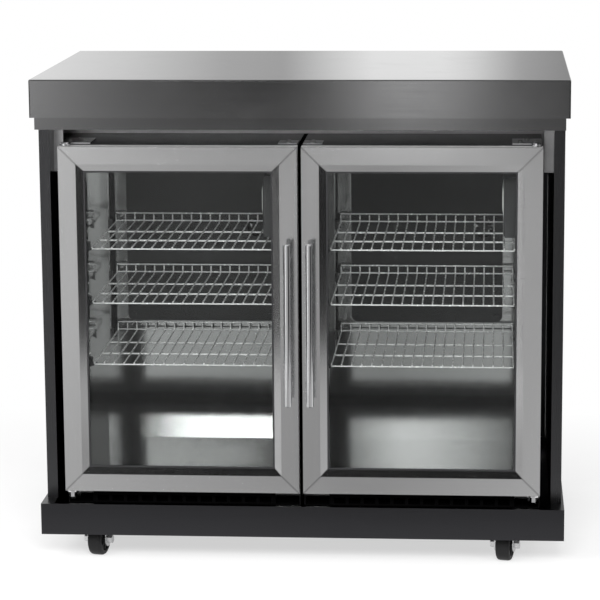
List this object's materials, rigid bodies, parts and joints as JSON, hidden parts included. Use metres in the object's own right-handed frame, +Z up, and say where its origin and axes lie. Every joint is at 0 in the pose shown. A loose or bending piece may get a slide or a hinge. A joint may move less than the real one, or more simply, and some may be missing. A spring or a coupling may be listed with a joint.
{
  "type": "outdoor refrigerator",
  "caption": "Freestanding outdoor refrigerator cabinet on casters, with a steel worktop over side-by-side glass-door fridges with wire shelves.",
  "frame": {"origin": "on the floor under the centre of the overall box, doors shut", "axes": "+X to the right seen from the front, +Y to the back, +Z up; the doors face -Y"},
  "size_m": [1, 0.63, 0.9246],
  "materials": {
    "black_stainless": "satin",
    "plinth_black": "satin",
    "case_black": "gloss",
    "zinc": "satin",
    "foam": "matte",
    "liner_steel": "polished",
    "door_steel": "satin",
    "black_plastic": "matte",
    "cover_grey": "satin",
    "gasket": "matte",
    "glass": "gloss",
    "chrome": "polished",
    "tyre": "matte",
    "aluminium": "satin",
    "machine_black": "satin"
  },
  "bodies": {
    "cabinet": {"countertop": "black_stainless", "top_frame": "black_stainless", "back_panel": "black_stainless", "side_panel_left": "black_stainless", "side_panel_right": "black_stainless", "base_frame": "plinth_black", "base_floor": "plinth_black", "corner_brackets": "zinc", "hold_down_rail": "zinc", "caster_plates": "zinc", "chassis_pans": "plinth_black", "fridge_feet": "black_plastic", "kick_grilles": "plinth_black", "shelf_pilasters": "liner_steel", "shelf_clips": "black_plastic", "evaporator_covers": "cover_grey", "evaporators": "aluminium", "cover_knobs": "black_plastic", "light_boxes": "cover_grey", "compressors": "machine_black", "condensers": "machine_black", "hinge_plates": "chrome", "case_left": "case_black", "foam_left": "foam", "liner_left": "liner_steel", "case_right": "case_black", "foam_right": "foam", "liner_right": "liner_steel"},
    "swivel_front_left": {"caster_fork_front_left": "zinc", "caster_axle_front_left": "zinc"},
    "wheel_front_left": {"caster_wheel_front_left": "tyre"},
    "pedal_front_left": {"brake_pedal_front_left": "zinc"},
    "swivel_front_right": {"caster_fork_front_right": "zinc", "caster_axle_front_right": "zinc"},
    "wheel_front_right": {"caster_wheel_front_right": "tyre"},
    "pedal_front_right": {"brake_pedal_front_right": "zinc"},
    "swivel_rear_left": {"caster_fork_rear_left": "zinc", "caster_axle_rear_left": "zinc"},
    "wheel_rear_left": {"caster_wheel_rear_left": "tyre"},
    "swivel_rear_right": {"caster_fork_rear_right": "zinc", "caster_axle_rear_right": "zinc"},
    "wheel_rear_right": {"caster_wheel_rear_right": "tyre"},
    "fan_left": {"evaporator_fan_left": "black_plastic"},
    "shelf_bottom_left": {"shelf_bottom_left": "chrome"},
    "shelf_middle_left": {"shelf_middle_left": "chrome"},
    "shelf_top_left": {"shelf_top_left": "chrome"},
    "door_left": {"door_frame_left": "door_steel", "door_core_left": "black_plastic", "door_glass_left": "glass", "door_gasket_left": "gasket", "door_handle_left": "chrome"},
    "fan_right": {"evaporator_fan_right": "black_plastic"},
    "shelf_bottom_right": {"shelf_bottom_right": "chrome"},
    "shelf_middle_right": {"shelf_middle_right": "chrome"},
    "shelf_top_right": {"shelf_top_right": "chrome"},
    "door_right": {"door_frame_right": "door_steel", "door_core_right": "black_plastic", "door_glass_right": "glass", "door_gasket_right": "gasket", "door_handle_right": "chrome"}
  },
  "joints": [
    {"name": "caster_swivel_front_left", "type": "hinge", "parent": "cabinet", "child": "swivel_front_left", "pos_m": [-0.391, -0.207, 0.079], "axis": [0, 0, 1], "continuous": true},
    {"name": "caster_wheel_front_left", "type": "hinge", "parent": "swivel_front_left", "child": "wheel_front_left", "pos_m": [-0.39516, -0.22656, 0.0315], "axis": [-0.9781, 0.2079, 0], "continuous": true},
    {"name": "brake_pedal_front_left", "type": "hinge", "parent": "swivel_front_left", "child": "pedal_front_left", "pos_m": [-0.39391, -0.22069, 0.0715], "axis": [0.9781, -0.2079, 0], "range_deg": [0, 14]},
    {"name": "caster_swivel_front_right", "type": "hinge", "parent": "cabinet", "child": "swivel_front_right", "pos_m": [0.391, -0.207, 0.079], "axis": [0, 0, 1], "continuous": true},
    {"name": "caster_wheel_front_right", "type": "hinge", "parent": "swivel_front_right", "child": "wheel_front_right", "pos_m": [0.38684, -0.22656, 0.0315], "axis": [-0.9781, 0.2079, 0], "continuous": true},
    {"name": "brake_pedal_front_right", "type": "hinge", "parent": "swivel_front_right", "child": "pedal_front_right", "pos_m": [0.38809, -0.22069, 0.0715], "axis": [0.9781, -0.2079, 0], "range_deg": [0, 14]},
    {"name": "caster_swivel_rear_left", "type": "hinge", "parent": "cabinet", "child": "swivel_rear_left", "pos_m": [-0.391, 0.232, 0.079], "axis": [0, 0, 1], "continuous": true},
    {"name": "caster_wheel_rear_left", "type": "hinge", "parent": "swivel_rear_left", "child": "wheel_rear_left", "pos_m": [-0.39516, 0.21244, 0.0315], "axis": [-0.9781, 0.2079, 0], "continuous": true},
    {"name": "caster_swivel_rear_right", "type": "hinge", "parent": "cabinet", "child": "swivel_rear_right", "pos_m": [0.391, 0.232, 0.079], "axis": [0, 0, 1], "continuous": true},
    {"name": "caster_wheel_rear_right", "type": "hinge", "parent": "swivel_rear_right", "child": "wheel_rear_right", "pos_m": [0.38684, 0.21244, 0.0315], "axis": [-0.9781, 0.2079, 0], "continuous": true},
    {"name": "fan_spin_left", "type": "hinge", "parent": "cabinet", "child": "fan_left", "pos_m": [-0.1145, 0.126, 0.587], "axis": [0, 1, 0], "continuous": true},
    {"name": "shelf_lift_bottom_left", "type": "slide", "parent": "cabinet", "child": "shelf_bottom_left", "axis": [0, 0, 1], "range_m": [0, 0.012]},
    {"name": "shelf_lift_middle_left", "type": "slide", "parent": "cabinet", "child": "shelf_middle_left", "axis": [0, 0, 1], "range_m": [0, 0.012]},
    {"name": "shelf_lift_top_left", "type": "slide", "parent": "cabinet", "child": "shelf_top_left", "axis": [0, 0, 1], "range_m": [0, 0.012]},
    {"name": "door_hinge_left", "type": "hinge", "parent": "cabinet", "child": "door_left", "pos_m": [-0.4395, -0.253, 0.137], "axis": [0, 0, -1], "range_deg": [0, 110]},
    {"name": "fan_spin_right", "type": "hinge", "parent": "cabinet", "child": "fan_right", "pos_m": [0.3405, 0.126, 0.587], "axis": [0, 1, 0], "continuous": true},
    {"name": "shelf_lift_bottom_right", "type": "slide", "parent": "cabinet", "child": "shelf_bottom_right", "axis": [0, 0, 1], "range_m": [0, 0.012]},
    {"name": "shelf_lift_middle_right", "type": "slide", "parent": "cabinet", "child": "shelf_middle_right", "axis": [0, 0, 1], "range_m": [0, 0.012]},
    {"name": "shelf_lift_top_right", "type": "slide", "parent": "cabinet", "child": "shelf_top_right", "axis": [0, 0, 1], "range_m": [0, 0.012]},
    {"name": "door_hinge_right", "type": "hinge", "parent": "cabinet", "child": "door_right", "pos_m": [0.4395, -0.253, 0.137], "axis": [0, 0, 1], "range_deg": [0, 110]}
  ]
}
